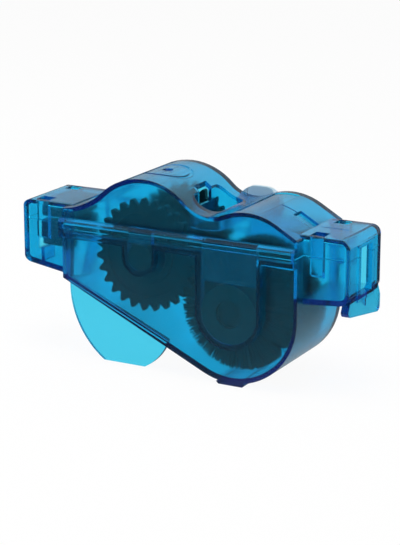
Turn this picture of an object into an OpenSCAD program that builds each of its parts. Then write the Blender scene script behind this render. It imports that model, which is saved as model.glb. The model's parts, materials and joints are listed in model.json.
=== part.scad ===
// Bicycle chain cleaner: two moulded shells that clip together round a toothed wheel
// and a brush wheel, with foam pads at the chain's way out.
// Millimetres. The chain runs along X, from the inlet box at +X to the outlet box at -X.
// The foot of the bowl and the fin stand on z = 0, and y = 0 is the middle of the depth.
// Shapes are drawn from the housing's left end at the parting line, then seated on the ground.

/* [Shells] */
// Length of the main housing over its end walls
body_l = 100; // [97:0.5:106]
// Depth of the main housing over its side plates
body_w = 39; // [37:0.5:44]
// Thickness of the moulded walls
wall = 1.8; // [1.5:0.1:2.1]
// Open line between the two shells
part_gap = 0.1; // [0.05:0.05:0.2]
// How far the rims and the bearing channels stand out from the side plates
rim_out = 2.9; // [2.5:0.1:3.5]
// Height of the rim on the tank
tank_rim_h = 3.5; // [3:0.1:4.5]
// Height of the rim on the cover
cover_rim_h = 3.9; // [3.2:0.1:4.5]
// Bevel along the top of the cover's rim
rim_bevel = 1.2; // [0.8:0.1:1.8]

/* [Cover] */
// Place of the high hump's crest along the housing
hump_x = 35.8; // [34:0.2:37]
// Height of the high hump above the parting line
hump_h = 22.4; // [21.5:0.2:25]
// Radius of the high hump
hump_r = 26; // [24:0.5:28]
// Place of the low hump's crest along the housing
crest_x = 79.3; // [78:0.2:81]
// Height of the low hump above the parting line
crest_h = 14.7; // [14:0.2:16]
// Radius of the low hump
crest_r = 24; // [22:0.5:26]
// Radius of the valley between the humps
valley_r = 14; // [12:0.5:16]
// Height of the roof at the outlet end
tail_h = 7.2; // [7:0.1:8]
// Radius that leads the roof into the high hump
tail_r = 30; // [26:1:34]
// Fall of the roof towards the inlet end, in degrees
nose_a = 30; // [26:1:32]

/* [Filler port] */
// Place of the port's edge nearest the high hump
port_x = 52; // [51:0.2:53]
// Length of the port along the chain
port_l = 11.6; // [10:0.2:12]
// Width of the port across the housing
port_w = 23; // [18:0.5:24]
// Corner radius of the port
port_r = 3.6; // [2.5:0.1:4.5]
// Thickness of the chute wall below the port
chute_t = 1.3; // [1:0.1:1.5]
// Height of the chute's lower edge above the parting line
chute_z = 4.4; // [4:0.2:7]
// Width of the notch beside the port
notch_w = 9.6; // [7:0.2:12]
// Depth of the notch beside the port
notch_l = 2.6; // [2:0.1:3.5]

/* [Tank] */
// Radius of the bowl
bowl_r = 27; // [26.5:0.1:28]
// Depth of the bowl's centre below the parting line
bowl_drop = 24.4; // [23.8:0.2:26]
// Depth of the tank's shallow end
toe_drop = 20.3; // [19.5:0.1:21]
// Width of the foot under the bowl
foot_l = 12; // [9:0.5:15]
// How far the foot stands out below the bowl
foot_h = 1; // [0.8:0.1:1.4]

/* [Stand fin] */
// Thickness of the fin
fin_t = 2; // [1.6:0.1:2.6]
// Distance of the fin behind the front plate
fin_inset = 4; // [3:0.5:8]
// Place of the fin's free edge from the housing's end
fin_x = 0.7; // [0.4:0.1:1.5]
// Length of the fin along the housing
fin_l = 44.9; // [42:0.5:48]
// Radius of the fin's free edge
fin_free_r = 34.3; // [32:0.5:36]
// Radius of the fin's edge towards the bowl
fin_near_r = 22.3; // [21:0.5:24]
// Height of the free edge's centre above the ground
fin_free_h = 28.4; // [27.5:0.1:29.5]
// Height of the near edge's centre above the ground
fin_near_h = 19.6; // [18.5:0.1:20.5]

/* [End boxes] */
// Length of the outlet box
outlet_l = 21.3; // [20:0.1:22]
// Length of the inlet box, without its collar
inlet_l = 18.2; // [17:0.1:20]
// How far the collar round the inlet window stands out
collar_l = 0.5; // [0.3:0.1:1.2]
// Depth of both boxes across the housing
box_w = 29; // [28:0.5:31]
// Height of the boxes above the parting line
box_h = 7.8; // [7.4:0.1:8.4]
// Depth of the outlet box at its free end
outlet_tip = 17; // [16.5:0.1:17.6]
// Depth of the inlet box next to the housing
inlet_root = 18.1; // [17.6:0.1:19]
// Depth of the inlet box at its free end
inlet_tip = 16.6; // [16.5:0.1:17.3]
// Corner radius of the outlet box, seen from the side
outlet_r = 4; // [3:0.1:5]
// Corner radius of the inlet box, seen from the side
inlet_r = 4.2; // [3.2:0.1:5]
// Radius of the other edges of both boxes
box_edge_r = 1; // [0.6:0.1:1.5]
// Width of the chain windows
window_w = 10; // [9.4:0.2:11]
// Height of the chain windows above the parting line
window_up = 3.2; // [2.8:0.1:3.4]
// Depth of the chain windows below the parting line
window_down = 14.6; // [13.6:0.1:14.6]
// Thickness of the collar round the inlet window
collar_t = 2.3; // [1.8:0.1:2.6]

/* [Latches] */
// Width of each latch tongue
latch_l = 5; // [4.4:0.1:5.2]
// Thickness of each latch tongue
latch_t = 1.7; // [1.4:0.1:2]
// Clearance round the latch tongues
latch_gap = 0.35; // [0.3:0.05:0.45]
// Place of the outlet latches from the housing's end
outlet_latch = 12.8; // [10:0.1:13]
// Place of the inlet latches from the housing's end
inlet_latch = 4.7; // [4.5:0.1:8]

/* [Finger tab] */
// Thickness of the finger tab
tab_t = 3; // [2:0.1:3.6]
// Drop of the tab below the inlet box at the front
tab_front = 4.6; // [3.6:0.1:5.4]
// Drop of the tab below the inlet box at the back
tab_back = 8.7; // [7:0.1:9.6]
// Corner radius of the tab
tab_r = 2.2; // [1.6:0.1:3]

/* [Toothed wheel] */
// Place of the toothed wheel's axle along the housing
wheel_x = 35.4; // [35:0.1:36.5]
// Depth of the toothed wheel's axle below the parting line
wheel_drop = 7.5; // [7:0.1:7.8]
// Radius of the toothed wheel over its teeth
tooth_r = 21.9; // [21:0.1:22.2]
// Height of a tooth
tooth_h = 2.7; // [2.2:0.1:3.2]
// Number of teeth on each disc
tooth_n = 27; // [21:1:31]
// Thickness of the toothed discs
disc_t = 2.4; // [2:0.1:2.8]
// Radius of both axles
axle_r = 5.2; // [4.6:0.1:5.6]
// Radial running clearance of both wheels
run_gap = 0.05; // [0.03:0.01:0.08]

/* [Brush wheel] */
// Clearance between the bristle tips and the bowl
brush_gap = 1.8; // [1.5:0.1:2.4]
// Radius of the brush wheel's journals
journal_r = 11.5; // [10.5:0.1:12.5]

/* [Bristles] */
// Radius of both drums
drum_r = 8.6; // [8:0.1:9.4]
// Thickness of the sleeve that carries the bristles
sleeve_t = 1.2; // [1:0.1:1.6]
// Thickness of a bristle
strand_t = 0.9; // [0.7:0.05:1.1]
// Bristles in each row of the brush wheel
brush_strands = 28; // [24:1:34]
// Bristles in each row of the toothed wheel
wheel_strands = 16; // [14:1:22]
// How much shorter the middle bristles are, where the chain runs
chain_dip = 3.2; // [2:0.1:4]

/* [Foam pads] */
// Length of the foam pads along the chain
foam_l = 14; // [12:0.5:14.5]
// Height of the lower foam pads
foam_h = 10.6; // [9:0.2:11.4]
// Clearance round the foam pads
foam_gap = 0.3; // [0.25:0.05:0.45]

/* [Hidden] */

// One overrun for every cut
cut = 1;
// Bite by which joined shapes overlap
bite = 0.4;
// Most that a drawn arc strays from its circle
arc_sag = 0.03;
// Sides of a drawn circle
round_n = 48;

// Faces of the housing, from the middle of the depth
plate_y = body_w / 2;
plate_in = plate_y - wall;
rim_y = plate_y + rim_out;
rim_in = rim_y - wall;

// Centre of the bowl, which is also the brush wheel's axle
bowl_x = body_l - bowl_r;
bowl_c = [bowl_x, -bowl_drop];
wheel_c = [wheel_x, -wheel_drop];
axle_gap = norm(bowl_c - wheel_c);
ground = bowl_drop + bowl_r + foot_h;
// Middle of the whole length, which goes to x = 0
mid_x = (body_l + inlet_l + collar_l - outlet_l) / 2;

// Wheels along their axles: the discs run beside the brush wheel
side_gap = 1.9;
brush_side_gap = 0.4;
axle_end_gap = 0.2;
tip_gap = 0.8;
disc_out = plate_in - side_gap;
disc_in = disc_out - disc_t;
brush_y = disc_in - brush_side_gap;
axle_end = rim_in - axle_end_gap;
brush_r = bowl_r - wall - brush_gap;
wheel_tip_r = axle_gap - brush_r - tip_gap;
channel_r = axle_r + run_gap;
bowl_channel_r = journal_r + run_gap;

// Rows of bristles along each drum, in three sleeves of three rows
rows = 3;
sleeve_gap = 0.2;

function arc_n(r, a0, a1) =
    max(2, ceil(abs(a1 - a0) / (2 * acos(1 - arc_sag / max(r, 2 * arc_sag)))));
// Points on a circle from one angle to another
function arc(c, r, a0, a1) =
    [for (n = arc_n(r, a0, a1), i = [0:n])
        let (a = a0 + (a1 - a0) * i / n) c + r * [cos(a), sin(a)]];
function angle_of(v) = atan2(v[1], v[0]);

// Centres of the arcs that make the roof
hump_c = [hump_x, hump_h - hump_r];
crest_c = [crest_x, crest_h - crest_r];
humps = crest_c - hump_c;
humps_d = norm(humps);
valley_s = (humps_d ^ 2 + (hump_r + valley_r) ^ 2 - (crest_r + valley_r) ^ 2) / (2 * humps_d);
valley_t = sqrt((hump_r + valley_r) ^ 2 - valley_s ^ 2);
valley_c = hump_c + (humps * valley_s + [-humps[1], humps[0]] * valley_t) / humps_d;
tail_z = tail_h + tail_r;
tail_c = [hump_x - sqrt((hump_r + tail_r) ^ 2 - (tail_z - hump_c[1]) ^ 2), tail_z];

// Wave-shaped roof, drawn inwards by t, from the left end to the right
function roof(t) =
    let (start = acos(min(1, (t - tail_c[0]) / (tail_r + t))),
         nose = crest_c + (crest_r - t) * [sin(nose_a), cos(nose_a)],
         end_x = body_l - t)
    concat(
        arc(tail_c, tail_r + t, -start, angle_of(hump_c - tail_c)),
        arc(hump_c, hump_r - t, angle_of(tail_c - hump_c), angle_of(valley_c - hump_c)),
        arc(valley_c, valley_r + t, angle_of(hump_c - valley_c), angle_of(crest_c - valley_c)),
        arc(crest_c, crest_r - t, angle_of(valley_c - crest_c), 90 - nose_a),
        [[end_x, nose[1] - (end_x - nose[0]) * tan(nose_a)]]);
// Closed outline of the cover, drawn inwards by t, down to z
function cover_outline(t, z) = concat([[t, z]], roof(t), [[body_l - t, z]]);

// Angle of the tank's sloping floor, which is tangent to the bowl
floor_a = atan2(toe_drop - bowl_drop, bowl_x) - asin(bowl_r / norm([bowl_x, bowl_drop - toe_drop]));
function floor_z(x, t) =
    let (foot = bowl_c + (bowl_r - t) * [sin(floor_a), -cos(floor_a)])
    foot[1] + (x - foot[0]) * tan(floor_a);
// Closed outline of the tank, drawn inwards by t, up to z
function tank_outline(t, z) =
    concat([[t, z], [t, floor_z(t, t)]],
           arc(bowl_c, bowl_r - t, floor_a - 90, 0),
           [[body_l - t, z]]);

// Lower side of an end box, drawn inwards by t: l is its length, root and tip its depths
function box_lower(l, root, tip, r, t, u0, z) =
    let (fall = atan2(root - tip, l),
         c = [l - t - r, (l - t - r) * tan(fall) - root + (t + r) / cos(fall)])
    concat([[u0, z], [u0, u0 * tan(fall) - root + t / cos(fall)]],
           arc(c, r, fall - 90, 0),
           [[l - t, z]]);
// Upper side of an end box
function box_upper(l, r, t, u0, z) =
    concat([[u0, z]], [[l - t, z]], arc([l - t - r, box_h - t - r], r, 0, 90), [[u0, box_h - t]]);
// Cross-section of an end box's upper half
function box_cross(r, t, z) =
    let (y = box_w / 2 - t)
    concat([[-y, z], [y, z]],
           arc([y - r, box_h - t - r], r, 0, 90), arc([r - y, box_h - t - r], r, 90, 180));
// Plan of an end box
function box_plan(l, r, t, u0) =
    let (y = box_w / 2 - t)
    concat([[u0, -y]], arc([l - t - r, r - y], r, -90, 0), arc([l - t - r, y - r], r, 0, 90),
           [[u0, y]]);
// Rectangle with round corners, from one corner to the other
function round_rect(a, b, r) =
    concat(arc([b[0] - r, a[1] + r], r, -90, 0), arc([b[0] - r, b[1] - r], r, 0, 90),
           arc([a[0] + r, b[1] - r], r, 90, 180), arc([a[0] + r, a[1] + r], r, 180, 270));

module along_y(w) {
    rotate([90, 0, 0]) linear_extrude(height = w, center = true) children();
}
module along_x(l) {
    rotate([90, 0, 90]) linear_extrude(height = l) children();
}
// From the drawing's corner to the ground
module seated() {
    translate([-mid_x, 0, ground]) children();
}
// The outlet box points to -X, the inlet box to +X
module at_outlet() {
    mirror([1, 0, 0]) children();
}
module at_inlet() {
    translate([body_l, 0, 0]) children();
}

// U-shaped channel that is open to the parting line
module channel(c, r, z) {
    translate(c) circle(r = r, $fn = round_n);
    translate(c - [r, 0]) square([2 * r, z - c[1]]);
}

module lower_box(l, r, root, tip, t, u0, z) {
    intersection() {
        along_y(box_w - 2 * t) polygon(box_lower(l, root, tip, r - t, t, u0, z));
        translate([0, 0, -root - cut])
            linear_extrude(height = root + z + 2 * cut)
                polygon(box_plan(l, box_edge_r, t, u0));
    }
}
module upper_box(l, r, t, u0, z) {
    intersection() {
        along_y(box_w - 2 * t) polygon(box_upper(l, r - t, t, u0, z));
        translate([u0, 0, 0]) along_x(l - u0) polygon(box_cross(box_edge_r, t, z));
        translate([0, 0, z - cut])
            linear_extrude(height = box_h + 2 * cut) polygon(box_plan(l, box_edge_r, t, u0));
    }
}
module outlet_lower(t, u0, z) {
    at_outlet() lower_box(outlet_l, outlet_r, toe_drop, outlet_tip, t, u0, z);
}
module inlet_lower(t, u0, z) {
    at_inlet() lower_box(inlet_l, inlet_r, inlet_root, inlet_tip, t, u0, z);
}
module both_upper(t, u0, z) {
    at_outlet() upper_box(outlet_l, outlet_r, t, u0, z);
    at_inlet() upper_box(inlet_l, inlet_r, t, u0, z);
}

// Chain window, cut from inside an end box out through its end
module window(l, out) {
    translate([l - 2 * wall, -window_w / 2, -window_down])
        cube([2 * wall + out + cut, window_w, window_down + window_up]);
}
module collar(z0, z1, t) {
    translate([inlet_l - wall / 2, -window_w / 2 - t, z0])
        cube([collar_l + wall / 2, window_w + 2 * t, z1 - z0]);
}

// Latch tongue that stands inside the box wall and reaches the window in the roof
latch_out = box_w / 2 - wall - latch_gap;
latch_in = latch_out - latch_t;
latch_root = 6.5;
latch_relief = 0.8;
latch_top = box_h - latch_relief / 2;
latch_slot = 3.2;
module latch(u) {
    for (side = [0, 1])
        mirror([0, side, 0])
            translate([u - latch_l / 2, 0, 0])
                along_x(latch_l)
                    polygon([[latch_in, -latch_root - latch_t],
                             [latch_out + latch_gap + bite, -latch_root],
                             [latch_out + latch_gap + bite, -latch_relief],
                             [latch_out, -latch_relief],
                             [latch_out, latch_top],
                             [latch_out - latch_t / 2, latch_top],
                             [latch_in, latch_top - latch_t]]);
}
module latch_window(u) {
    for (side = [0, 1])
        mirror([0, side, 0])
            translate([u - latch_l / 2 - latch_gap, latch_in - latch_slot, box_h - 2 * wall])
                cube([latch_l + 2 * latch_gap, latch_t + latch_slot + latch_gap, 2 * wall + cut]);
}

// Ledges across the outlet box that carry the lower foam pads
ledge_t = 1.4;
foam_u0 = 1;
foam_top_z = -0.4;
foam_base_z = foam_top_z - foam_h;
foam_in = window_w / 2 + foam_gap;
foam_out = latch_in - foam_gap;
ledge_us = [foam_u0 + ledge_t, foam_u0 + foam_l - 2 * ledge_t];
module foam_ledges() {
    intersection() {
        outlet_lower(wall / 2, 0, 0);
        at_outlet()
            for (u = ledge_us, side = [0, 1])
                mirror([0, side, 0])
                    translate([u, foam_in, -toe_drop])
                        cube([ledge_t, box_w / 2 - foam_in, foam_base_z - foam_gap + toe_drop]);
    }
}

// Fin under the shallow end: two arcs down to a flat edge that stands on the ground
fin_free_c = [fin_x + fin_free_r, fin_free_h - ground];
fin_near_c = [fin_x + fin_l - fin_near_r, fin_near_h - ground];
module fin_shape() {
    polygon(concat(
        [[fin_x, floor_z(fin_x, wall / 2)]],
        arc(fin_free_c, fin_free_r, 180, 180 + asin((ground + fin_free_c[1]) / fin_free_r)),
        arc(fin_near_c, fin_near_r, -asin((ground + fin_near_c[1]) / fin_near_r), 0)));
}
module fin() {
    translate([0, -plate_y + fin_inset + fin_t / 2, 0])
        difference() {
            along_y(fin_t) fin_shape();
            along_y(fin_t + cut) polygon(tank_outline(wall / 2, 0));
        }
}

// Foot strip under the bowl
module foot() {
    translate([bowl_x, 0, -ground])
        along_y(body_w)
            polygon([[-foot_l / 2, foot_h], [-foot_l / 2 + foot_h, 0], [foot_l / 2 - foot_h, 0],
                     [foot_l / 2, foot_h], [foot_l / 4, foot_h + wall], [-foot_l / 4, foot_h + wall]]);
}

// Finger tab under the inlet box, flush with its end and lower at the back than at the front,
// with a gusset behind it
tab_y = box_w / 2;
tab_rise = 2.6;
tab_lean = 2.4;
gusset_y = 3;
gusset_t = 1;
module tab() {
    fall = atan2(tab_back - tab_front, 2 * (tab_y - tab_r));
    translate([inlet_l - tab_t, 0, -inlet_tip]) {
        along_x(tab_t)
            polygon(concat(
                [[tab_y - tab_lean, tab_rise], [tab_lean - tab_y, tab_rise]],
                arc([tab_r - tab_y, tab_r - tab_front], tab_r, 180, 270 - fall),
                arc([tab_y - tab_r, tab_r - tab_back], tab_r, -90 - fall, 0),
                [[tab_y, -tab_front / 2]]));
        translate([0, gusset_y, 0])
            along_y(gusset_t) polygon([[bite, -tab_front], [-tab_front, bite], [bite, bite]]);
    }
}

module tank() {
    color([0.05, 0.47, 0.78, 0.7]) seated() {
        difference() {
            union() {
                along_y(body_w) polygon(tank_outline(0, 0));
                translate([0, -rim_y, -tank_rim_h]) cube([body_l, 2 * rim_y, tank_rim_h]);
                along_y(2 * rim_y) channel(wheel_c, channel_r + wall, 0);
                along_y(2 * rim_y) channel(bowl_c, bowl_channel_r + wall, 0);
                outlet_lower(0, -wall / 2, 0);
                inlet_lower(0, -wall / 2, 0);
                at_inlet() {
                    collar(-window_down - collar_t, -part_gap, collar_t);
                    tab();
                }
                foot();
                fin();
            }
            along_y(body_w - 2 * wall) polygon(tank_outline(wall, cut));
            translate([wall, -rim_in, wall - tank_rim_h])
                cube([body_l - 2 * wall, 2 * rim_in, tank_rim_h - wall + cut]);
            along_y(2 * rim_in) channel(wheel_c, channel_r, cut);
            along_y(2 * rim_in) channel(bowl_c, bowl_channel_r, cut);
            outlet_lower(wall, -wall - cut, cut);
            inlet_lower(wall, -wall - cut, cut);
            at_outlet() window(outlet_l, 0);
            at_inlet() window(inlet_l, collar_l);
        }
        at_outlet() latch(outlet_latch);
        at_inlet() latch(inlet_latch);
        foam_ledges();
    }
}

// Keeper tongues on the cover close the channels above the journals
keeper_gap = 0.3;
module keepers() {
    for (k = [[wheel_c, axle_r], [bowl_c, journal_r]], side = [0, 1])
        mirror([0, side, 0])
            translate([k[0][0] - k[1] + keeper_gap, plate_in + keeper_gap, k[0][1] + k[1] + keeper_gap])
                cube([2 * (k[1] - keeper_gap), rim_in - plate_in - 2 * keeper_gap,
                      cover_rim_h - wall + bite - k[0][1] - k[1] - keeper_gap]);
}

// Shallow cut that follows the roof
module roof_cut(depth) {
    difference() {
        children();
        along_y(body_w + cut) polygon(cover_outline(depth, -cut));
    }
}

// Plan of the filler port, drawn outwards by t
module port(t) {
    polygon(round_rect([port_x - t, -port_w / 2 - t], [port_x + port_l + t, port_w / 2 + t],
                       port_r + t));
}
roof_top = hump_h + cut;

// Marks in the roof: a round mark with a pit, a bare label field, a notch and two lines
mark_r = 9;
mark_w = 1.5;
mark_depth = 0.4;
pit_r = 2.1;
pit_depth = 1.1;
label_x = 73.2;
label_l = 10.6;
label_w = 33;
label_depth = 0.35;
recess_x = 90.4;
recess_l = 7.6;
recess_w = 6.4;
recess_depth = 1;
line_w = 0.7;
line_l = 11;
module roof_marks() {
    roof_cut(mark_depth)
        translate([hump_x, 0, 0])
            difference() {
                cylinder(h = roof_top, r = mark_r + mark_w / 2, $fn = round_n);
                translate([0, 0, -cut])
                    cylinder(h = roof_top + 2 * cut, r = mark_r - mark_w / 2, $fn = round_n);
            }
    roof_cut(pit_depth) translate([hump_x, 0, 0]) cylinder(h = roof_top, r = pit_r, $fn = round_n);
    roof_cut(label_depth)
        translate([label_x, -label_w / 2, 0]) cube([label_l, label_w, roof_top]);
    roof_cut(recess_depth)
        translate([recess_x, -recess_w / 2, 0]) cube([recess_l, recess_w, roof_top]);
    roof_cut(label_depth)
        translate([label_x + label_l - bite, -line_w / 2, 0])
            cube([recess_x - label_x - label_l + 2 * bite, line_w, roof_top]);
    at_inlet()
        translate([bite, -line_w / 2, box_h - label_depth]) cube([line_l, line_w, cut]);
}

module cover_rim(y, z, bevel, x0) {
    translate([x0, 0, 0])
        along_x(body_l - 2 * x0)
            polygon([[-y, -bite], [y, -bite], [y, z - bevel], [y - bevel, z],
                     [bevel - y, z], [-y, z - bevel]]);
}

module cover() {
    color([0.1, 0.5, 0.82, 0.7]) seated() {
        difference() {
            union() {
                difference() {
                    union() {
                        along_y(body_w) polygon(cover_outline(0, part_gap));
                        cover_rim(rim_y, cover_rim_h, rim_bevel, 0);
                        both_upper(0, -wall, part_gap);
                        at_inlet() collar(part_gap, window_up + collar_t / 2, collar_t);
                    }
                    along_y(body_w - 2 * wall) polygon(cover_outline(wall, -cut));
                    cover_rim(rim_in, cover_rim_h - wall, rim_bevel / 2, wall);
                    both_upper(wall, -2 * wall, -cut);
                    at_outlet() {
                        window(outlet_l, 0);
                        latch_window(outlet_latch);
                    }
                    at_inlet() {
                        window(inlet_l, collar_l);
                        latch_window(inlet_latch);
                    }
                    translate([-cut, -rim_y - cut, -hump_h])
                        cube([body_l + 2 * cut, 2 * (rim_y + cut), hump_h + part_gap]);
                }
                // Chute below the filler port
                intersection() {
                    translate([0, 0, chute_z]) linear_extrude(height = roof_top) port(chute_t);
                    along_y(body_w) polygon(cover_outline(0, part_gap));
                }
            }
            translate([0, 0, chute_z - cut]) linear_extrude(height = roof_top) port(0);
            translate([port_x - notch_l, -notch_w / 2, crest_h - 2 * wall])
                cube([notch_l + cut, notch_w, roof_top]);
            roof_marks();
        }
        keepers();
    }
}

// Strap loop on the back of the cover, beside the valley
loop_x = 65;
loop_l = 18;
loop_z = cover_rim_h;
loop_top = 14.8;
loop_h = loop_top - loop_z;
loop_r = 7;
loop_slot_l = 11;
loop_slot_t = 1.3;
module strap_loop() {
    color([0.62, 0.66, 0.86, 0.8]) seated()
        difference() {
            translate([loop_x, plate_y + rim_out / 2, loop_z])
                along_y(rim_out)
                    polygon(concat([[-loop_l / 2, 0], [loop_l / 2, 0]],
                                   arc([loop_l / 2 - loop_r, loop_h - loop_r], loop_r, 0, 90),
                                   arc([loop_r - loop_l / 2, loop_h - loop_r], loop_r, 90, 180)));
            translate([loop_x - loop_slot_l / 2, plate_y - cut, loop_z - cut])
                cube([loop_slot_l, loop_slot_t + cut, loop_h + 2 * cut]);
        }
}

// A solid of revolution about an axle, between two distances from the middle of the depth
module on_axle(c, y0, y1) {
    seated()
        translate([c[0], y0, c[1]]) rotate([-90, 0, 0]) linear_extrude(height = y1 - y0) children();
}
module ring(r, bore) {
    difference() {
        circle(r = r, $fn = round_n);
        circle(r = bore, $fn = round_n);
    }
}

seat_gap = 0.02;
module toothed_axle() {
    color([0.1, 0.12, 0.14]) on_axle(wheel_c, -axle_end, axle_end) circle(r = axle_r, $fn = round_n);
}
module toothed_drum() {
    color([0.09, 0.11, 0.13])
        on_axle(wheel_c, -disc_in, disc_in) ring(drum_r, axle_r + seat_gap);
}

// Toothed outline: a rounded wave round the rim, full at the tips and in the gaps
tooth_steps = 8;
tooth_round_share = 0.55;
function wave(c) = sign(c) * abs(c) ^ tooth_round_share;
function teeth(r, h, n) =
    [for (i = [0:n * tooth_steps - 1])
        let (a = 360 * i / (n * tooth_steps), q = r - h / 2 + h / 2 * wave(cos(n * a)))
        q * [cos(a), sin(a)]];
disc_step = 0.6;
hub_step = 0.3;
module toothed_disc(side) {
    mirror([0, side, 0])
        difference() {
            union() {
                on_axle(wheel_c, disc_in, disc_out) polygon(teeth(tooth_r, tooth_h, tooth_n));
                on_axle(wheel_c, disc_out - bite, disc_out + hub_step)
                    circle(r = drum_r, $fn = round_n);
            }
            on_axle(wheel_c, disc_in - cut, plate_in + cut) circle(r = axle_r + seat_gap, $fn = round_n);
            // Shallow web between the hub and the rim
            on_axle(wheel_c, disc_out - disc_step, disc_out + cut)
                ring(tooth_r - 2 * tooth_h, drum_r + tooth_h);
        }
}
module toothed_front_disc() {
    color([0.07, 0.09, 0.11]) toothed_disc(1);
}
module toothed_rear_disc() {
    color([0.07, 0.09, 0.11]) toothed_disc(0);
}

// Bristle sleeve: rows of square strands that stand on one slice of the drum's sleeve.
// Each row is one flat star, whose strands stand on the flats of the sleeve's outline.
function star(n, r, tip_r) =
    let (half = strand_t / 2, foot = sqrt(r ^ 2 - half ^ 2))
    [for (i = [0:n - 1])
        let (a = 360 * i / n, out = [cos(a), sin(a)], side = [-sin(a), cos(a)])
        each concat([foot * out - half * side],
                    tip_r > r ? [tip_r * out - half * side, tip_r * out + half * side] : [],
                    [foot * out + half * side])];
module bristle_sleeve(c, y, third, n, tip_r) {
    row_pitch = 2 * y / (3 * rows);
    y0 = -y + third * rows * row_pitch + sleeve_gap / 2;
    sleeve_l = rows * row_pitch - sleeve_gap;
    sleeve_r = drum_r + sleeve_t;
    turn = third % 2 * 180 / n;
    difference() {
        union() {
            on_axle(c, y0, y0 + sleeve_l) rotate(turn) polygon(star(n, sleeve_r, 0));
            for (k = [0:rows - 1])
                let (mid = y0 + sleeve_l * (k + 0.5) / rows)
                on_axle(c, mid - strand_t / 2, mid + strand_t / 2)
                    rotate(turn) polygon(star(n, sleeve_r, tip_r));
        }
        on_axle(c, y0 - cut, y0 + sleeve_l + cut) circle(r = drum_r + seat_gap, $fn = round_n);
    }
}
module wheel_bristles(third, tip_r) {
    color([0.13, 0.15, 0.18]) bristle_sleeve(wheel_c, disc_in, third, wheel_strands, tip_r);
}
module toothed_front_bristles() {
    wheel_bristles(0, wheel_tip_r);
}
module toothed_middle_bristles() {
    wheel_bristles(1, wheel_tip_r - chain_dip);
}
module toothed_rear_bristles() {
    wheel_bristles(2, wheel_tip_r);
}

module brush_axle() {
    color([0.1, 0.12, 0.14])
        on_axle(bowl_c, -axle_end + rim_out / 2, axle_end - rim_out / 2)
            circle(r = axle_r, $fn = round_n);
}
module brush_drum() {
    color([0.09, 0.11, 0.13]) on_axle(bowl_c, -brush_y, brush_y) ring(drum_r, axle_r + seat_gap);
}
// Journal of the brush wheel, which runs in the wide channel
module journal(side) {
    color([0.16, 0.2, 0.2])
        mirror([0, side, 0]) on_axle(bowl_c, brush_y, axle_end) ring(journal_r, axle_r + seat_gap);
}
module brush_front_journal() {
    journal(1);
}
module brush_rear_journal() {
    journal(0);
}
module brush_bristles(third, tip_r) {
    color([0.12, 0.14, 0.17]) bristle_sleeve(bowl_c, brush_y, third, brush_strands, tip_r);
}
module brush_front_bristles() {
    brush_bristles(0, brush_r);
}
module brush_middle_bristles() {
    brush_bristles(1, brush_r - chain_dip);
}
module brush_rear_bristles() {
    brush_bristles(2, brush_r);
}

// Foam pads in the outlet box, one each side of the chain and one above it
module foam_pad(side) {
    color([0.16, 0.2, 0.24]) seated() at_outlet()
        mirror([0, side, 0])
            translate([foam_u0, foam_in, foam_base_z]) cube([foam_l, foam_out - foam_in, foam_h]);
}
module foam_front() {
    foam_pad(1);
}
module foam_rear() {
    foam_pad(0);
}
module foam_top() {
    color([0.16, 0.2, 0.24]) seated() at_outlet()
        translate([foam_u0, -latch_in + latch_gap + foam_gap, -foam_top_z])
            cube([foam_l, 2 * (latch_in - latch_gap - foam_gap),
                  box_h - wall + foam_top_z - foam_gap]);
}

tank();
cover();
strap_loop();
toothed_axle();
toothed_drum();
toothed_front_disc();
toothed_rear_disc();
toothed_front_bristles();
toothed_middle_bristles();
toothed_rear_bristles();
brush_axle();
brush_drum();
brush_front_journal();
brush_rear_journal();
brush_front_bristles();
brush_middle_bristles();
brush_rear_bristles();
foam_front();
foam_rear();
foam_top();
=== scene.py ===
import json
import math
import random

import bmesh
import bpy
from mathutils import Matrix, Vector, noise

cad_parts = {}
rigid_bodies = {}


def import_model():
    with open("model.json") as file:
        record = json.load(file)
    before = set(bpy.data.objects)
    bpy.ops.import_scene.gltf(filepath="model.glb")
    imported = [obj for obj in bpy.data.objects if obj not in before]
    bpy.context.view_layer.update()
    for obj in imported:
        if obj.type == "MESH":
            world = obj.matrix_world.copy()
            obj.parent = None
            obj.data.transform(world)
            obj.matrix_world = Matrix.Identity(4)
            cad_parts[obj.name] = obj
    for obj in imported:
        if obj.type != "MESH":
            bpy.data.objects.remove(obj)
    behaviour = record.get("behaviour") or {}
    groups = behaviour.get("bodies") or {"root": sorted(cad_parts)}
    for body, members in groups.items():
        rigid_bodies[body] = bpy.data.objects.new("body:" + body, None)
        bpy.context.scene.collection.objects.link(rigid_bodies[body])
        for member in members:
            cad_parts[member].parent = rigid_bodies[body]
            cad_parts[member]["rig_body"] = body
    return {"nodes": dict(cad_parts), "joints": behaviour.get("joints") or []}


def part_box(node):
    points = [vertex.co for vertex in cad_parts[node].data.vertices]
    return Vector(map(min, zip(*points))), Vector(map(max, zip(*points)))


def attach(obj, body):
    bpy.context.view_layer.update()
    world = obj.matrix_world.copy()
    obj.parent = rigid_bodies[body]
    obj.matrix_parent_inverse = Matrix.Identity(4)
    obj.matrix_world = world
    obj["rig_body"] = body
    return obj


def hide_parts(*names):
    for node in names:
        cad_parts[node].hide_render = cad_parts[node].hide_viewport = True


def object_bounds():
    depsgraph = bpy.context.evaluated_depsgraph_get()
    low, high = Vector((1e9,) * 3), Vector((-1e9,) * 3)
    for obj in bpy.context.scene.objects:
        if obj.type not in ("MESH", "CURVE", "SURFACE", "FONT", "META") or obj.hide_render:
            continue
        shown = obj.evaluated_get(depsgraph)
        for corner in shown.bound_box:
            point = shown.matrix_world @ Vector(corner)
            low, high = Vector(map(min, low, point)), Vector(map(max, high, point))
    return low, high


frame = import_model()
CAD_BOX = [list(corner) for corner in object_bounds()]

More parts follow.
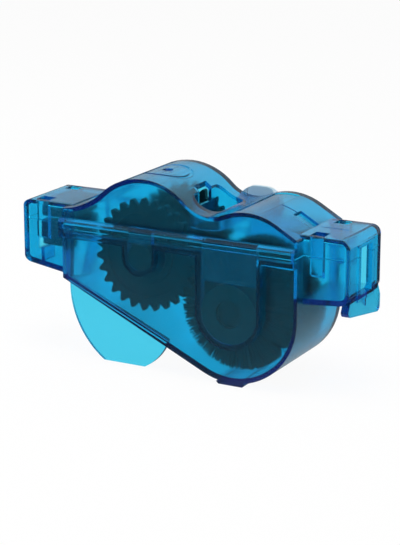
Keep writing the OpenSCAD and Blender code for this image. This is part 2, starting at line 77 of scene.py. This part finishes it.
bl_info = {
    "name": "Bicycle Chain Cleaner",
    "version": (1, 0, 0),
    "blender": (4, 5, 0),
    "location": "View3D > Sidebar > Chain Cleaner",
    "description": "Dresses the chain cleaner's frame in clear plastic, nylon bristles and foam",
    "category": "Object",
}

MM = 0.001
NODES = frame["nodes"]
BODY_OF = {n: o["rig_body"] for n, o in NODES.items()}
# A point on the axle of each wheel
PIVOTS = {j["child"]: Vector(j["pos_m"]) for j in frame["joints"] if j["type"] == "hinge"}

# Depth of plastic that a tint is given for, and the least of a colour that comes through it
TINTED_DEPTH = 2 * MM
LEAST_TINT = 0.02

# A bristle sleeve's bore, the surface that its bristles stand on, and how deep they are sunk
SLEEVE_BORE_RADIUS = 8.65 * MM
SLEEVE_RADIUS = 9.8 * MM
ROOT_SUNK = 0.2 * MM
LEAST_ROWS = 3
# The shortest and the longest bristle, as shares of the radius over the tips
REACH_SHARES = (0.99, 1.001)
# How far a bristle strays from its place, of its pitch, and its tip, of the splay
PLACE_SHARE = 0.3
TIP_SHARE = 0.8
# Of a bristle's thickness: how thick it is at the root, the bend and the tip, and how far
# the bend lies off along the axle and sideways
STRAND_SHARES = (1, 0.95, 0.9)
BEND_ALONG_SHARE = 0.15
BEND_SIDE_SHARE = 0.1

# Cuts along each edge of a foam pad, and how far its corners draw in and its pits sink
FOAM_CUTS = 17
DRAW_IN_SHARE = 0.05
PIT_SHARE = 0.04

# Seen from the camera, the flat front plates mirror what lies this way
MIRRORED_WAY = (-0.48, -0.88, 0)
# How much of the floor that the camera sees is plain white, the rest of it taking shadows
PLAIN_WHITE_SHARE = 0.94
# What the camera looks at, and how far it is moved to the right and down from there
AIM = Vector((1.3 * MM, -1.5 * MM, 40.4 * MM))
SHIFT_RIGHT = 0.43 * MM
SHIFT_DOWN = 3.91 * MM
# Name, place and size in metres, and power in watts
LAMPS = (("lamp_above", Vector((0.05, -0.15, 0.9)), 0.5, 5),
         ("lamp_left", Vector((-0.8, -0.1, 0.35)), 0.3, 2.5))


def linear(code):
    """Turns an sRGB hex colour into the linear red, green and blue that the shaders take."""
    shares = [int(code[i:i + 2], 16) / 255 for i in (0, 2, 4)]
    return tuple(s / 12.92 if s <= 0.04045 else ((s + 0.055) / 1.055) ** 2.4 for s in shares)


def shaded(code, share):
    """An sRGB hex colour made darker or lighter, as a colour socket takes it."""
    return (*(share * c for c in linear(code)), 1)


class ShellSettings(bpy.types.PropertyGroup):
    """The two clear shells."""

    tint: bpy.props.FloatVectorProperty(
        name="Tint", description="What two millimetres of the plastic let through",
        subtype="COLOR", size=3, min=0, max=1, default=linear("50D6F4"))
    haze: bpy.props.FloatProperty(
        name="Haze", description="Share of the light that the plastic scatters",
        subtype="FACTOR", min=0, max=1, default=0.015)
    edge: bpy.props.FloatProperty(
        name="Edge radius", description="Rounding of the moulded edges",
        unit="LENGTH", min=0, max=1 * MM, default=0.3 * MM)


class WheelSettings(bpy.types.PropertyGroup):
    """Axles, drums, discs and journals of both wheels."""

    edge: bpy.props.FloatProperty(
        name="Edge radius", description="Rounding of the moulded edges",
        unit="LENGTH", min=0, max=1 * MM, default=0.2 * MM)


class BristleSettings(bpy.types.PropertyGroup):
    """Nylon bristles of both wheels."""

    pitch: bpy.props.FloatProperty(
        name="Pitch", description="Spacing of the bristles at their roots",
        unit="LENGTH", min=0.5 * MM, max=3 * MM, default=0.62 * MM)
    thickness: bpy.props.FloatProperty(
        name="Thickness", description="Thickness of a bristle at its root",
        unit="LENGTH", min=0.1 * MM, max=1 * MM, default=0.5 * MM)
    splay: bpy.props.FloatProperty(
        name="Splay", description="How far the tips stray from straight",
        unit="LENGTH", min=0, max=2 * MM, default=0.3 * MM)


class FoamSettings(bpy.types.PropertyGroup):
    """Foam pads in the outlet box."""

    corner: bpy.props.FloatProperty(
        name="Corner", description="Rounding of the cut foam's edges",
        unit="LENGTH", min=0.1 * MM, max=2 * MM, default=0.7 * MM)
    pore: bpy.props.FloatProperty(
        name="Pore", description="Size of the foam's open cells",
        unit="LENGTH", min=0.2 * MM, max=3 * MM, default=0.9 * MM)


class StageSettings(bpy.types.PropertyGroup):
    """Floor and camera."""

    azimuth: bpy.props.FloatProperty(
        name="Azimuth", description="How far the camera stands to the right of the front",
        subtype="ANGLE", default=math.radians(28.47))
    elevation: bpy.props.FloatProperty(
        name="Elevation", description="How high the camera stands",
        subtype="ANGLE", default=math.radians(15.8))
    distance: bpy.props.FloatProperty(
        name="Distance", description="From the camera to the point that it looks at",
        unit="LENGTH", min=0.1, max=5, default=705.5 * MM)
    lens: bpy.props.FloatProperty(
        name="Lens", description="Focal length in millimetres", min=20, max=300, default=122.2)
    floor: bpy.props.FloatProperty(
        name="Floor", description="Radius of the floor",
        unit="LENGTH", min=1, max=20, default=6)


def settings(kind):
    """The user's settings for one kind of piece."""
    return getattr(bpy.context.scene, "chain_cleaner_" + kind)


def add(tree, kind, values=None, links=None, **own):
    """Adds a node with its own properties, its socket values and what feeds its sockets."""
    node = tree.nodes.new(kind)
    for name, value in own.items():
        setattr(node, name, value)
    for name, value in (values or {}).items():
        node.inputs[name].default_value = value
    for name, source in (links or {}).items():
        tree.links.new(source, node.inputs[name])
    return node


def blank(name):
    """Returns an empty node material and its tree."""
    material = bpy.data.materials.new(name)
    material.use_nodes = True
    material.node_tree.nodes.clear()
    return material, material.node_tree


def per_metre(size):
    """Noise scale for a feature of that size in metres."""
    return 1 / size


def clear_polycarbonate(name, tint, dye, haze, roughness):
    """Clear polycarbonate, injection moulded: it shines softly, blurs what lies deep behind it,
    and its edges go dark because the light runs a longer way in the tinted plastic."""
    material, tree = blank(name)
    place = add(tree, "ShaderNodeTexCoord")
    # Flow marks of the moulding, 9 mm apart, which also make it shinier here and duller there
    flow = add(tree, "ShaderNodeTexNoise", {"Scale": per_metre(9 * MM), "Detail": 2.0},
               {"Vector": place.outputs["Object"]})
    rough = add(tree, "ShaderNodeMapRange",
                {"From Min": 0.3, "From Max": 0.7,
                 "To Min": 0.8 * roughness, "To Max": 1.25 * roughness},
                {"Value": flow.outputs["Fac"]})
    wave = add(tree, "ShaderNodeBump", {"Strength": 0.12, "Distance": 0.12 * MM},
               {"Height": flow.outputs["Fac"]})
    # Fine grain of the mould's surface, drawn at 0.7 mm so that it shows
    grain = add(tree, "ShaderNodeTexNoise", {"Scale": per_metre(0.7 * MM), "Detail": 3.0},
                {"Vector": place.outputs["Object"]})
    skin = add(tree, "ShaderNodeBump", {"Strength": 0.06, "Distance": 0.02 * MM},
               {"Height": grain.outputs["Fac"], "Normal": wave.outputs["Normal"]})
    # The dye colours what passes the surface, and the rest of the tint comes with depth
    plastic = add(tree, "ShaderNodeBsdfPrincipled",
                  {"Base Color": (*dye, 1), "IOR": 1.52,
                   "Transmission Weight": 1 - haze, "Specular IOR Level": 0.5},
                  {"Roughness": rough.outputs["Result"], "Normal": skin.outputs["Normal"]})
    # Lamps reach what lies inside, tinted once at each face of a wall
    ray = add(tree, "ShaderNodeLightPath")
    passing = add(tree, "ShaderNodeBsdfTransparent", {"Color": (*(math.sqrt(t) for t in tint), 1)})
    surface = add(tree, "ShaderNodeMixShader", None,
                  {0: ray.outputs["Is Shadow Ray"], 1: plastic.outputs["BSDF"],
                   2: passing.outputs["BSDF"]})
    loss = [-math.log(max(t, LEAST_TINT) / s) / TINTED_DEPTH for t, s in zip(tint, dye)]
    density = max(loss)
    depth = add(tree, "ShaderNodeVolumeAbsorption",
                {"Color": (*(1 - x / density for x in loss), 1), "Density": density})
    add(tree, "ShaderNodeOutputMaterial", None,
        {"Surface": surface.outputs["Shader"], "Volume": depth.outputs["Volume"]})
    return material


def moulded_acetal(name, code, roughness):
    """Dark acetal, moulded: a dense plastic with a low waxy sheen and paler worn patches."""
    material, tree = blank(name)
    place = add(tree, "ShaderNodeTexCoord")
    # Worn patches, 4 mm apart, are paler and duller
    wear = add(tree, "ShaderNodeTexNoise", {"Scale": per_metre(4 * MM), "Detail": 4.0},
               {"Vector": place.outputs["Object"]})
    shade = add(tree, "ShaderNodeMix", {"A": shaded(code, 0.7), "B": shaded(code, 1.5)},
                {"Factor": wear.outputs["Fac"]}, data_type="RGBA")
    rough = add(tree, "ShaderNodeMapRange",
                {"To Min": 0.8 * roughness, "To Max": 1.2 * roughness},
                {"Value": wear.outputs["Fac"]})
    # Grain of the mould's surface, drawn at 0.5 mm so that it shows
    grain = add(tree, "ShaderNodeTexNoise", {"Scale": per_metre(0.5 * MM), "Detail": 2.0},
                {"Vector": place.outputs["Object"]})
    skin = add(tree, "ShaderNodeBump", {"Strength": 0.15, "Distance": 0.03 * MM},
               {"Height": grain.outputs["Fac"]})
    plastic = add(tree, "ShaderNodeBsdfPrincipled", {"IOR": 1.48, "Specular IOR Level": 0.3},
                  {"Base Color": shade.outputs["Result"], "Roughness": rough.outputs["Result"],
                   "Normal": skin.outputs["Normal"]})
    add(tree, "ShaderNodeOutputMaterial", None, {"Surface": plastic.outputs["BSDF"]})
    return material


def extruded_nylon(name, code):
    """Nylon bristle, extruded: thin strands with a soft satin shine, paler in some tufts."""
    material, tree = blank(name)
    place = add(tree, "ShaderNodeTexCoord")
    # Tufts vary in shade every 2.5 mm
    tuft = add(tree, "ShaderNodeTexNoise", {"Scale": per_metre(2.5 * MM), "Detail": 2.0},
               {"Vector": place.outputs["Object"]})
    shade = add(tree, "ShaderNodeMix", {"A": shaded(code, 0.5), "B": shaded(code, 2.2)},
                {"Factor": tuft.outputs["Fac"]}, data_type="RGBA")
    strand = add(tree, "ShaderNodeBsdfPrincipled",
                 {"IOR": 1.53, "Roughness": 0.42, "Specular IOR Level": 0.3},
                 {"Base Color": shade.outputs["Result"]})
    add(tree, "ShaderNodeOutputMaterial", None, {"Surface": strand.outputs["BSDF"]})
    return material


def open_cell_foam(name, code, pore):
    """Polyurethane foam, cut: a matt sponge whose open cells show as pits, with painted shade
    making each cell darker towards its middle.
    """
    material, tree = blank(name)
    place = add(tree, "ShaderNodeTexCoord")
    cells = add(tree, "ShaderNodeTexVoronoi", {"Scale": per_metre(pore)},
                {"Vector": place.outputs["Object"]})
    depth = add(tree, "ShaderNodeMapRange", {"From Min": 0.1, "From Max": 0.6},
                {"Value": cells.outputs["Distance"]})
    # Painted shade: each cell's middle gets the darker colour, standing in for the shade down in
    # its pit
    shade = add(tree, "ShaderNodeMix", {"A": shaded(code, 0.55), "B": shaded(code, 1)},
                {"Factor": depth.outputs["Result"]}, data_type="RGBA")
    pits = add(tree, "ShaderNodeBump", {"Strength": 0.7, "Distance": 0.4 * MM},
               {"Height": depth.outputs["Result"]})
    sponge = add(tree, "ShaderNodeBsdfPrincipled",
                 {"Roughness": 0.95, "Sheen Weight": 0.25, "Specular IOR Level": 0.2},
                 {"Base Color": shade.outputs["Result"], "Normal": pits.outputs["Normal"]})
    add(tree, "ShaderNodeOutputMaterial", None, {"Surface": sponge.outputs["BSDF"]})
    return material


def dress(node, material, edge):
    """Gives a CAD node a material, and rounds its edges with modifiers, which leave its own
    mesh as it is."""
    piece = NODES[node]
    piece.data.materials.clear()
    piece.data.materials.append(material)
    weld = piece.modifiers.new("weld", "WELD")
    weld.merge_threshold = 0.002 * MM
    flat = piece.modifiers.new("flat", "DECIMATE")
    flat.decimate_type = "DISSOLVE"
    flat.angle_limit = math.radians(0.5)
    # Faces with many corners go back to triangles, because a bevel breaks one with a hole in it
    split = piece.modifiers.new("split", "TRIANGULATE")
    split.min_vertices = 8
    bevel = piece.modifiers.new("bevel", "BEVEL")
    bevel.width = edge
    bevel.segments = 2
    bevel.limit_method = "ANGLE"
    bevel.angle_limit = math.radians(35)
    bevel.use_clamp_overlap = True
    bevel.face_strength_mode = "FSTR_AFFECTED"
    crease = piece.modifiers.new("crease", "EDGE_SPLIT")
    crease.split_angle = math.radians(50)
    even = piece.modifiers.new("even", "WEIGHTED_NORMAL")
    even.mode = "FACE_AREA"
    even.weight = 100
    even.use_face_influence = True
    for face in piece.data.polygons:
        face.use_smooth = True


def link(name, data):
    """Links an object with that data to the scene."""
    made = bpy.data.objects.new(name, data)
    bpy.context.scene.collection.objects.link(made)
    return made


def mesh_object(name, mesh_data, material):
    """Turns a bmesh into a linked object with one material."""
    mesh = bpy.data.meshes.new(name)
    mesh_data.to_mesh(mesh)
    mesh_data.free()
    mesh.materials.append(material)
    return link(name, mesh)


def lathe(mesh_data, centre, profile, steps=72):
    """Turns a closed profile of (radius, y) pairs about an axle along Y."""
    rings = []
    for k in range(steps):
        a = 2 * math.pi * k / steps
        rings.append([
            mesh_data.verts.new((centre.x + r * math.cos(a), y, centre.z + r * math.sin(a)))
            for r, y in profile])
    count = len(profile)
    for k in range(steps):
        for i in range(count):
            j = (i + 1) % count
            n = (k + 1) % steps
            mesh_data.faces.new((rings[k][i], rings[k][j], rings[n][j], rings[n][i]))


def strand(mesh_data, root, tip, side, along, thickness):
    """Adds one bristle: four sides, drawn in towards a blunt tip, bent once on its way."""
    off = along * BEND_ALONG_SHARE + side * BEND_SIDE_SHARE
    bend = root.lerp(tip, 0.5) + off * thickness
    rings = []
    for centre, share in zip((root, bend, tip), STRAND_SHARES):
        h = thickness * share / 2
        rings.append([mesh_data.verts.new(centre + side * (h * a) + along * (h * b))
                      for a, b in ((-1, -1), (1, -1), (1, 1), (-1, 1))])
    for low, high in zip(rings, rings[1:]):
        for i in range(4):
            j = (i + 1) % 4
            mesh_data.faces.new((low[i], low[j], high[j], high[i]))
    mesh_data.faces.new(rings[-1])


def bristle_sleeve(node, material):
    """Dense bristles on a sleeve, in place of the frame's sparse ones."""
    own = settings("bristles")
    low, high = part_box(node)
    body = BODY_OF[node]
    pivot = PIVOTS[body]
    tip_radius = (high.x - low.x) / 2
    made = bmesh.new()
    lathe(made, pivot, ((SLEEVE_BORE_RADIUS, low.y), (SLEEVE_RADIUS, low.y),
                        (SLEEVE_RADIUS, high.y), (SLEEVE_BORE_RADIUS, high.y)))
    rng = random.Random(sum(ord(c) for c in node))
    rows = max(LEAST_ROWS, round((high.y - low.y) / own.pitch))
    count = round(2 * math.pi * SLEEVE_RADIUS / own.pitch)
    golden = (math.sqrt(5) - 1) / 2
    along = Vector((0, 1, 0))
    for row in range(rows):
        y = low.y + (row + 0.5) * (high.y - low.y) / rows
        centre = pivot + along * (y - pivot.y)
        edge = min(own.splay, y - low.y, high.y - y) * TIP_SHARE
        for k in range(count):
            # Each row is turned by a golden share of the pitch, so that no rows line up
            shift = golden * row + rng.uniform(-PLACE_SHARE, PLACE_SHARE)
            a = 2 * math.pi * (k + shift) / count
            out = Vector((math.cos(a), 0, math.sin(a)))
            side = Vector((-math.sin(a), 0, math.cos(a)))
            root = centre + out * (SLEEVE_RADIUS - ROOT_SUNK)
            tip = (centre + out * (tip_radius * rng.uniform(*REACH_SHARES))
                   + side * (TIP_SHARE * rng.uniform(-own.splay, own.splay))
                   + along * rng.uniform(-edge, edge))
            strand(made, root, tip, side, along, own.thickness)
    piece = mesh_object(node.replace("bristles", "brush"), made, material)
    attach(piece, body)
    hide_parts(node)


def foam_block(node, material):
    """A cut foam pad: crowned faces, sides drawn in a little, round edges and open cells."""
    own = settings("foam")
    low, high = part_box(node)
    middle = (low + high) / 2
    half = (high - low) / 2
    made = bmesh.new()
    bmesh.ops.create_cube(made, size=2)
    bmesh.ops.subdivide_edges(made, edges=made.edges[:], cuts=FOAM_CUTS, use_grid_fill=True)
    for vert in made.verts:
        inner = Vector([vert.co[i] * (half[i] - own.corner) for i in range(3)])
        q = inner + vert.co.normalized() * own.corner
        # Each face bulges in its middle and draws in near the pad's corners
        pull = sum((q[i] / half[i]) ** 2 for i in range(3)) / 3
        q *= 1 - DRAW_IN_SHARE * pull
        pit = max(0, noise.noise((q + middle) / own.pore))
        q -= q.normalized() * (PIT_SHARE * min(half) * pit)
        vert.co = middle + q
    for face in made.faces:
        face.smooth = True
    piece = mesh_object(node + "_pad", made, material)
    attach(piece, BODY_OF[node])
    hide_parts(node)


def dark_front(tree, direction, low, high):
    """Brightness of the studio by direction: low where the front plates mirror it, else high."""
    unit = add(tree, "ShaderNodeVectorMath", None, {0: direction}, operation="NORMALIZE")
    facing = add(tree, "ShaderNodeVectorMath", {1: MIRRORED_WAY},
                 {0: unit.outputs["Vector"]}, operation="DOT_PRODUCT")
    level = add(tree, "ShaderNodeMapRange",
                {"From Min": 0.2, "From Max": 0.75, "To Min": high, "To Max": low},
                {"Value": facing.outputs["Value"]}, interpolation_type="SMOOTHSTEP")
    return level.outputs["Result"]


def seen(tree, ray):
    """1 for what the camera sees, straight or through the clear plastic, else 0."""
    either = add(tree, "ShaderNodeMath", None,
                 {0: ray.outputs["Is Camera Ray"], 1: ray.outputs["Is Transmission Ray"]},
                 operation="MAXIMUM")
    return either.outputs["Value"]


def white_studio_floor():
    """White floor: it looks plain white, keeps the object's shadow, and is dimmer where the
    plastic mirrors it."""
    material, tree = blank("white_studio_floor")
    ray = add(tree, "ShaderNodeLightPath")
    matt = add(tree, "ShaderNodeBsdfDiffuse", {"Color": (0.9, 0.9, 0.9, 1)})
    glow = add(tree, "ShaderNodeEmission", {"Color": (1, 1, 1, 1), "Strength": 1})
    plain = add(tree, "ShaderNodeMath", {1: PLAIN_WHITE_SHARE}, {0: seen(tree, ray)},
                operation="MULTIPLY")
    # Mirrored in the plastic, the floor is bright close by, and dark in front and far off
    place = add(tree, "ShaderNodeTexCoord")
    far = add(tree, "ShaderNodeVectorMath", None, {0: place.outputs["Object"]},
              operation="LENGTH")
    near = add(tree, "ShaderNodeMapRange",
               {"From Min": 90 * MM, "From Max": 170 * MM, "To Min": 1, "To Max": 0.15},
               {"Value": far.outputs["Value"]}, interpolation_type="SMOOTHSTEP")
    front = dark_front(tree, place.outputs["Object"], low=0.13, high=0.38)
    level = add(tree, "ShaderNodeMath", None, {0: near.outputs["Result"], 1: front},
                operation="MULTIPLY")
    mirrored = add(tree, "ShaderNodeEmission", {"Color": (1, 1, 1, 1)},
                   {"Strength": level.outputs["Value"]})
    lit = add(tree, "ShaderNodeMixShader", None,
              {0: ray.outputs["Is Glossy Ray"], 1: matt.outputs["BSDF"],
               2: mirrored.outputs["Emission"]})
    mixed = add(tree, "ShaderNodeMixShader", None,
                {0: plain.outputs["Value"], 1: lit.outputs["Shader"],
                 2: glow.outputs["Emission"]})
    add(tree, "ShaderNodeOutputMaterial", None, {"Surface": mixed.outputs["Shader"]})
    return material


def white_studio_air():
    """White world, dark in front on the left, where the flat plates would mirror it."""
    world = bpy.data.worlds.new("white_studio")
    world.use_nodes = True
    tree = world.node_tree
    tree.nodes.clear()
    toward = add(tree, "ShaderNodeTexCoord")
    air = add(tree, "ShaderNodeBackground", {"Color": (1, 1, 1, 1)},
              {"Strength": dark_front(tree, toward.outputs["Generated"], low=0.05, high=0.5)})
    wall = add(tree, "ShaderNodeBackground", {"Color": (1, 1, 1, 1), "Strength": 1})
    ray = add(tree, "ShaderNodeLightPath")
    mixed = add(tree, "ShaderNodeMixShader", None,
                {0: seen(tree, ray), 1: air.outputs["Background"],
                 2: wall.outputs["Background"]})
    add(tree, "ShaderNodeOutputWorld", None, {"Surface": mixed.outputs["Shader"]})
    return world


def camera_place(own):
    """Where the camera stands and how it is turned."""
    sa, ca = math.sin(own.azimuth), math.cos(own.azimuth)
    se, ce = math.sin(own.elevation), math.cos(own.elevation)
    back = Vector((sa * ce, -ca * ce, se))
    right = Vector((ca, sa, 0))
    up = back.cross(right)
    place = AIM + back * own.distance + right * SHIFT_RIGHT - up * SHIFT_DOWN
    return Matrix((
        (right.x, up.x, back.x, place.x),
        (right.y, up.y, back.y, place.y),
        (right.z, up.z, back.z, place.z),
        (0, 0, 0, 1)))


class CHAINCLEANER_OT_shells(bpy.types.Operator):
    """Finish the tank, the cover and the strap loop in clear moulded plastic"""

    bl_idname = "chain_cleaner.shells"
    bl_label = "Clear shells"

    def execute(self, context):
        own = settings("shells")
        blue_dye = (0.3, 0.85, 1.0)
        tank = clear_polycarbonate("clear_moulded_polycarbonate_tank", own.tint, blue_dye,
                                   own.haze, roughness=0.16)
        cover = clear_polycarbonate("clear_moulded_polycarbonate_cover", own.tint, blue_dye,
                                    own.haze, roughness=0.14)
        # Painted sheen: the loop's pale tint, pale dye and milky haze make it pale all over,
        # standing in for the sheen of light on its top
        loop = clear_polycarbonate("pale_moulded_polycarbonate_loop_painted_sheen", linear("B0D4EA"),
                                   dye=(0.75, 0.95, 1.0), haze=0.6, roughness=0.5)
        for node, material in (("tank", tank), ("cover", cover), ("strap_loop", loop)):
            dress(node, material, own.edge)
        return {"FINISHED"}


class CHAINCLEANER_OT_wheels(bpy.types.Operator):
    """Finish the axles, drums, discs and journals of both wheels"""

    bl_idname = "chain_cleaner.wheels"
    bl_label = "Wheels"

    def execute(self, context):
        own = settings("wheels")
        finishes = {
            "_disc": moulded_acetal("black_moulded_acetal_disc", "141A1C", 0.42),
            "_drum": moulded_acetal("black_moulded_acetal_drum", "0E1213", 0.5),
            "_journal": moulded_acetal("green_grey_moulded_acetal_journal", "25302D", 0.4),
            "_axle": moulded_acetal("black_moulded_acetal_axle", "101415", 0.3),
        }
        for node in NODES:
            for ending, material in finishes.items():
                if node.endswith(ending):
                    dress(node, material, own.edge)
        return {"FINISHED"}


class CHAINCLEANER_OT_bristles(bpy.types.Operator):
    """Grow dense nylon bristles on the sleeves of both wheels"""

    bl_idname = "chain_cleaner.bristles"
    bl_label = "Bristles"

    def execute(self, context):
        nylon = extruded_nylon("black_extruded_nylon_bristle", "171C1E")
        for node in sorted(NODES):
            if node.endswith("_bristles"):
                bristle_sleeve(node, nylon)
        return {"FINISHED"}


class CHAINCLEANER_OT_foam(bpy.types.Operator):
    """Make the three foam pads of the outlet box"""

    bl_idname = "chain_cleaner.foam"
    bl_label = "Foam pads"

    def execute(self, context):
        foam = open_cell_foam("grey_cut_polyurethane_foam", "5E686E", settings("foam").pore)
        for node in ("foam_front", "foam_rear", "foam_top"):
            foam_block(node, foam)
        return {"FINISHED"}


class CHAINCLEANER_OT_stage(bpy.types.Operator):
    """Lay the white floor, set the soft light and place the camera"""

    bl_idname = "chain_cleaner.stage"
    bl_label = "Stage"

    def execute(self, context):
        own = settings("stage")
        disc = bmesh.new()
        bmesh.ops.create_circle(disc, cap_ends=True, segments=96, radius=own.floor)
        floor = mesh_object("studio_floor", disc, white_studio_floor())
        # Just under the foot, so that the two faces don't flicker
        floor.location.z = CAD_BOX[0][2] - 0.02 * MM
        context.scene.world = white_studio_air()

        for name, place, size, watts in LAMPS:
            lamp = bpy.data.lights.new(name, "AREA")
            lamp.shape = "DISK"
            lamp.size = size
            lamp.energy = watts
            stand = link(name, lamp)
            stand.location = place
            stand.rotation_euler = (AIM - place).to_track_quat("-Z", "Y").to_euler()

        camera = bpy.data.cameras.new("camera")
        camera.lens = own.lens
        camera.sensor_width = 36
        camera.clip_start, camera.clip_end = 0.01, 50
        holder = link("camera", camera)
        holder.matrix_world = camera_place(own)
        context.scene.camera = holder
        context.scene.view_settings.view_transform = "Standard"
        return {"FINISHED"}


class CHAINCLEANER_PT_panel(bpy.types.Panel):
    """Lists the steps and their settings in the sidebar"""

    bl_idname = "CHAINCLEANER_PT_panel"
    bl_label = "Chain Cleaner"
    bl_space_type = "VIEW_3D"
    bl_region_type = "UI"
    bl_category = "Chain Cleaner"

    def draw(self, context):
        for operator in OPERATORS:
            self.layout.operator(operator.bl_idname)
        for kind, group in GROUPS.items():
            box = self.layout.box()
            for name in group.__annotations__:
                box.prop(settings(kind), name)


GROUPS = {"shells": ShellSettings, "wheels": WheelSettings, "bristles": BristleSettings,
          "foam": FoamSettings, "stage": StageSettings}
OPERATORS = (CHAINCLEANER_OT_shells, CHAINCLEANER_OT_wheels, CHAINCLEANER_OT_bristles,
             CHAINCLEANER_OT_foam, CHAINCLEANER_OT_stage)


def register():
    for kind, group in GROUPS.items():
        bpy.utils.register_class(group)
        setattr(bpy.types.Scene, "chain_cleaner_" + kind, bpy.props.PointerProperty(type=group))
    for item in (*OPERATORS, CHAINCLEANER_PT_panel):
        bpy.utils.register_class(item)


def unregister():
    for item in (CHAINCLEANER_PT_panel, *reversed(OPERATORS)):
        bpy.utils.unregister_class(item)
    for kind, group in GROUPS.items():
        delattr(bpy.types.Scene, "chain_cleaner_" + kind)
        bpy.utils.unregister_class(group)


def main():
    register()
    bpy.ops.chain_cleaner.shells()
    bpy.ops.chain_cleaner.wheels()
    bpy.ops.chain_cleaner.bristles()
    bpy.ops.chain_cleaner.foam()
    bpy.ops.chain_cleaner.stage()


if __name__ == "__main__":
    main()
